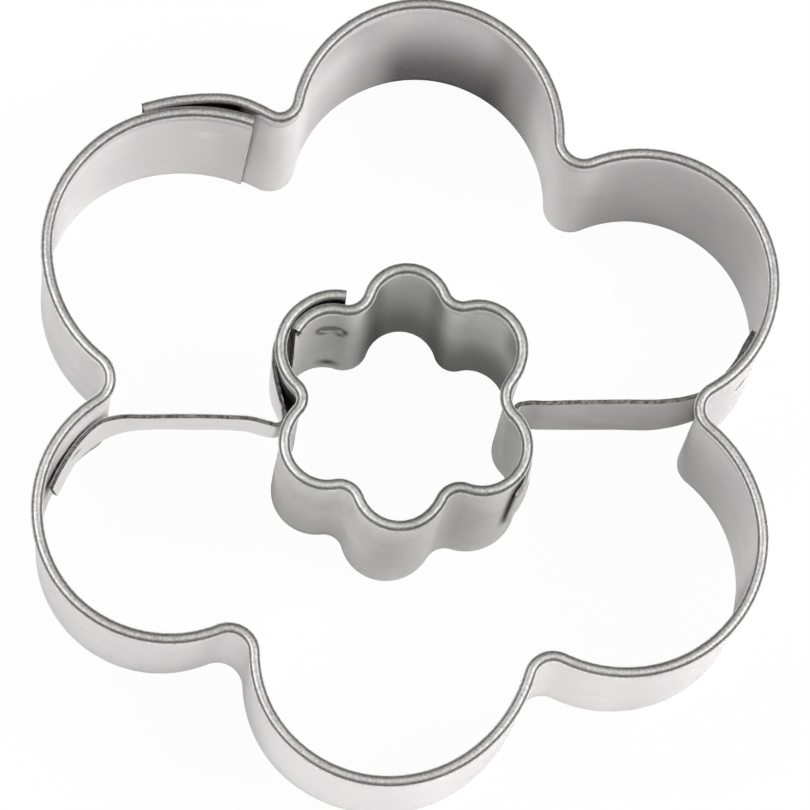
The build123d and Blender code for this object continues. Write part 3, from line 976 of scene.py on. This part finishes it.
def weld_piece(name, solid, near, far, size, finish):
    """Lens between two sheets' outer faces. near, far: point of a face at (along, up, lift); size: the half axes."""
    vertices, faces = [], []
    for face in (near, far):
        vertices.append(face(0.0, 0.0, weld_crown))
        for r in range(1, weld_rings + 1):
            share = r / weld_rings
            lift = weld_crown - (weld_crown + weld_sink) * share * share
            for k in range(weld_sectors):
                angle = 2 * pi * k / weld_sectors
                wobble = 1 + weld_wobble * noise.noise(Vector((cos(angle), sin(angle), len(name))))
                vertices.append(face(size[0] * share * wobble * cos(angle), size[1] * share * wobble * sin(angle),
                                     lift))
    half = 1 + weld_rings * weld_sectors
    for start, flip in ((0, False), (half, True)):
        for k in range(weld_sectors):
            n = (k + 1) % weld_sectors
            rows = [(start, start + 1 + k, start + 1 + n)]
            for r in range(weld_rings - 1):
                a, b = start + 1 + r * weld_sectors, start + 1 + (r + 1) * weld_sectors
                rows.append((a + k, b + k, b + n, a + n))
            faces += [tuple(reversed(row)) if flip else row for row in rows]
    for k in range(weld_sectors):
        n = (k + 1) % weld_sectors
        rim = half - weld_sectors
        faces.append((rim + k, half + rim + k, half + rim + n, rim + n))
    mesh = new_mesh(name, vertices, faces, (finish,))
    strip = mesh.uv_layers.new(name="strip")
    for loop in mesh.loops:
        spot = mesh.vertices[loop.vertex_index].co
        strip.data[loop.index].uv = (spot.x + spot.y, spot.z)
    piece = new_piece(name, mesh)
    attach(piece, "root")
    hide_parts(solid)


def seam_weld(ring, number, solid, size, finish):
    """Weld of a ring's lap, on the dents of its two layers; number: the hidden layer's dent, before the other's."""
    hidden, height = ring.dents[number]["at"], ring.dents[number]["height"]
    lapped = ring.dents[number + 1]["at"]
    half = ring_sheet / 2
    weld_piece(solid + "_spot", solid,
               lambda u, v, lift: ring.point(hidden + u, height + v, -half - lift),
               lambda u, v, lift: ring.point(lapped + u, height + v, half + lift), size, finish)


def tab_weld(brace, weld, ring, side, solid, size):
    """Weld of a brace's tab on a ring; side: 1 where the tab lies outside the ring's wall."""
    where, distance = weld
    middle = brace.base + brace_height / 2
    spot = brace.point(where, middle_share, 0.0)
    ahead = brace.point(where + probe_step, middle_share, 0.0)
    step = (ahead - brace.point(where - probe_step, middle_share, 0.0)).length / (2 * probe_step)
    facing = ring.point(distance, middle, side) - ring.point(distance, middle, 0.0)
    turn = 1.0 if (brace.point(where, middle_share, 1.0) - spot).dot(facing) > 0 else -1.0
    ring_along = ring.point(distance + probe_step, brace.base, 0.0) - ring.point(distance, brace.base, 0.0)
    sense = 1.0 if (ahead - spot).dot(ring_along) > 0 else -1.0
    weld_piece(solid + "_spot", solid,
               lambda u, v, lift: brace.point(where + u / step, middle_share + v / brace_height,
                                              turn * (brace_sheet / 2 + lift)),
               lambda u, v, lift: ring.point(distance + sense * u, middle + v, -side * (ring_sheet / 2 + lift)),
               size, weld_metal)


seam_weld(outer, 0, "outer_seam_upper_weld", (1.2, 1.0), seam_metal_painted_light)
seam_weld(outer, 2, "outer_seam_lower_weld", (1.0, 1.2), seam_metal_painted_light)
seam_weld(inner, 0, "inner_seam_upper_weld", (1.25, 1.1), weld_metal)
seam_weld(inner, 2, "inner_seam_lower_weld", (0.95, 1.2), inner_metal)
tab_weld(left, left.outer_weld, outer, -1, "left_outer_tab_weld", (1.1, 0.8))
tab_weld(left, left.inner_weld, inner, 1, "left_inner_tab_weld", (1.0, 1.1))
tab_weld(right, right.outer_weld, outer, -1, "right_outer_tab_weld", (1.2, 0.8))
tab_weld(right, right.inner_weld, inner, 1, "right_inner_tab_weld", (1.0, 1.1))

# Studio: a floor that keeps the shadow but is white to the camera and in the metal near the cutter
floor_size = 6.0
white_share = 0.96
floor_tone = 0.9
white_near = 0.058
white_far = 0.2
white_low = 0.3


def floor_paper():
    """White to the camera and in the metal, matt and pale to the lights."""
    made, tree = material("floor_paper")
    path = node(tree, "ShaderNodeLightPath").outputs
    seen = maths(tree, "ADD", path["Is Camera Ray"], path["Is Glossy Ray"])
    seen = maths(tree, "ADD", seen, path["Is Transmission Ray"])
    distance = node(tree, "ShaderNodeVectorMath", operation="LENGTH")
    feed(tree, distance.inputs[0], node(tree, "ShaderNodeTexCoord").outputs["Object"])
    falloff = remapped(tree, distance.outputs["Value"], (white_near, white_far), (1.0, white_low),
                       interpolation_type="SMOOTHSTEP")
    white = node(tree, "ShaderNodeEmission", Strength=1.0)
    feed(tree, white.inputs["Color"], maths(tree, "MAXIMUM", falloff, path["Is Camera Ray"]))
    diffuse = node(tree, "ShaderNodeBsdfDiffuse")
    diffuse.inputs["Color"].default_value = grey(floor_tone)
    mixer = node(tree, "ShaderNodeMixShader")
    feed(tree, mixer.inputs["Fac"], maths(tree, "MULTIPLY", seen, white_share))
    feed(tree, mixer.inputs[1], diffuse.outputs["BSDF"])
    feed(tree, mixer.inputs[2], white.outputs["Emission"])
    output = node(tree, "ShaderNodeOutputMaterial")
    feed(tree, output.inputs["Surface"], mixer.outputs["Shader"])
    return made


def floor_plane():
    """Square floor at the height of the cutting edges."""
    half = floor_size / 2
    mesh = bpy.data.meshes.new("floor")
    mesh.from_pydata([(-half, -half, 0), (half, -half, 0), (half, half, 0), (-half, half, 0)], [], [(0, 1, 2, 3)])
    mesh.materials.append(floor_paper())
    return linked("floor", mesh)


floor = floor_plane()

# Skies as stops of (sine of the elevation, tone)
lighting_stops = ((0.0, 0.65), (0.24, 0.65), (0.32, 0.05), (1.0, 0.05))
mirrored_stops = ((0.0, 0.06), (0.3, 0.09), (0.65, 0.15), (1.0, 0.34))
cool_tint = (0.975, 1.0, 0.965)
olive_tint = (0.985, 1.0, 0.95)
lilac_tint = (1.0, 0.975, 0.985)
plain_tint = (1.0, 1.0, 1.0)


def sky_ramp(tree, rise, stops, tint):
    """Tinted grey by height in the sky."""
    ramp = node(tree, "ShaderNodeValToRGB")
    elements = ramp.color_ramp.elements
    while len(elements) < len(stops):
        elements.new(1.0)
    for element, (place, tone) in zip(elements, stops):
        element.position = place
        element.color = (*(tone * part for part in tint), 1)
    feed(tree, ramp.inputs["Fac"], rise)
    return ramp.outputs["Color"]


def studio_world():
    """White to the camera; one sky lights the matt surfaces and another shows in the metal."""
    world = bpy.data.worlds.new("studio")
    world.use_nodes = True
    tree = world.node_tree
    tree.nodes.clear()
    split = node(tree, "ShaderNodeSeparateXYZ")
    feed(tree, split.inputs["Vector"], node(tree, "ShaderNodeTexCoord").outputs["Generated"])
    rise = split.outputs["Z"]
    path = node(tree, "ShaderNodeLightPath").outputs
    reflected = blended(tree, path["Is Glossy Ray"], sky_ramp(tree, rise, lighting_stops, cool_tint),
                        sky_ramp(tree, rise, mirrored_stops, olive_tint))
    background = node(tree, "ShaderNodeBackground", Strength=1.0)
    feed(tree, background.inputs["Color"], blended(tree, path["Is Camera Ray"], reflected, grey(1.0)))
    output = node(tree, "ShaderNodeOutputWorld")
    feed(tree, output.inputs["Surface"], background.outputs["Background"])
    return world


scene.world = studio_world()

box_distance = 0.6
box_size = (0.3, 0.3)
card_size = (0.35, 0.3)
card_level = 0.18
card_elevation = 62.0


def softbox(name, azimuth, elevation, size, level, tint, mirrored=False):
    """Area lamp aimed at the cutter; level is how bright it alone makes a white surface that faces it.

    A mirrored box shows in the metal and lights nothing else; the others light and don't show in the metal.
    """
    data = bpy.data.lights.new(name, "AREA")
    data.shape = "RECTANGLE"
    data.size, data.size_y = size
    data.energy = level * pi * pi * box_distance * box_distance
    data.color = tint
    lamp = linked(name, data)
    around, up = radians(azimuth), radians(elevation)
    facing = Vector((cos(around) * cos(up), sin(around) * cos(up), sin(up)))
    lamp.location = facing * box_distance
    lamp.rotation_mode = "QUATERNION"
    lamp.rotation_quaternion = facing.to_track_quat("Z", "Y")
    lamp.visible_glossy = mirrored
    lamp.visible_diffuse = not mirrored


for name, azimuth, elevation, level, tint in (
        ("right_high_box", 0.0, 58.0, 0.55, lilac_tint),
        ("right_low_box", 0.0, 38.0, 0.39, lilac_tint),
        ("back_box", 135.0, 58.0, 0.37, plain_tint),
        ("left_box", 180.0, 38.0, 0.18, plain_tint),
        ("front_box", -90.0, 20.0, 0.23, plain_tint)):
    softbox(name, azimuth, elevation, box_size, level, tint)
for name, azimuth in (("left_card", 180.0), ("right_card", 0.0)):
    softbox(name, azimuth, card_elevation, card_size, card_level, plain_tint, mirrored=True)

# Camera at the photograph's viewing angle
camera_place = (-15.62, -110.70, 496.42)
camera_right = Vector((0.99677, 0.06393, 0.04867))
camera_up = Vector((-0.07318, 0.97241, 0.22149))
camera_back = Vector((-0.03316, -0.22434, 0.97395))
camera_lens = 220.1
camera_sensor = 36.0


def photo_camera():
    """Camera with the place and the right, up and back directions above."""
    data = bpy.data.cameras.new("camera")
    data.lens = camera_lens
    data.sensor_width = camera_sensor
    camera = linked("camera", data)
    turn = Matrix((camera_right, camera_up, camera_back)).transposed()
    camera.matrix_world = Matrix.Translation(Vector(camera_place) * MM) @ turn.to_4x4()
    return camera


scene.camera = photo_camera()
scene.view_settings.view_transform = "Standard"
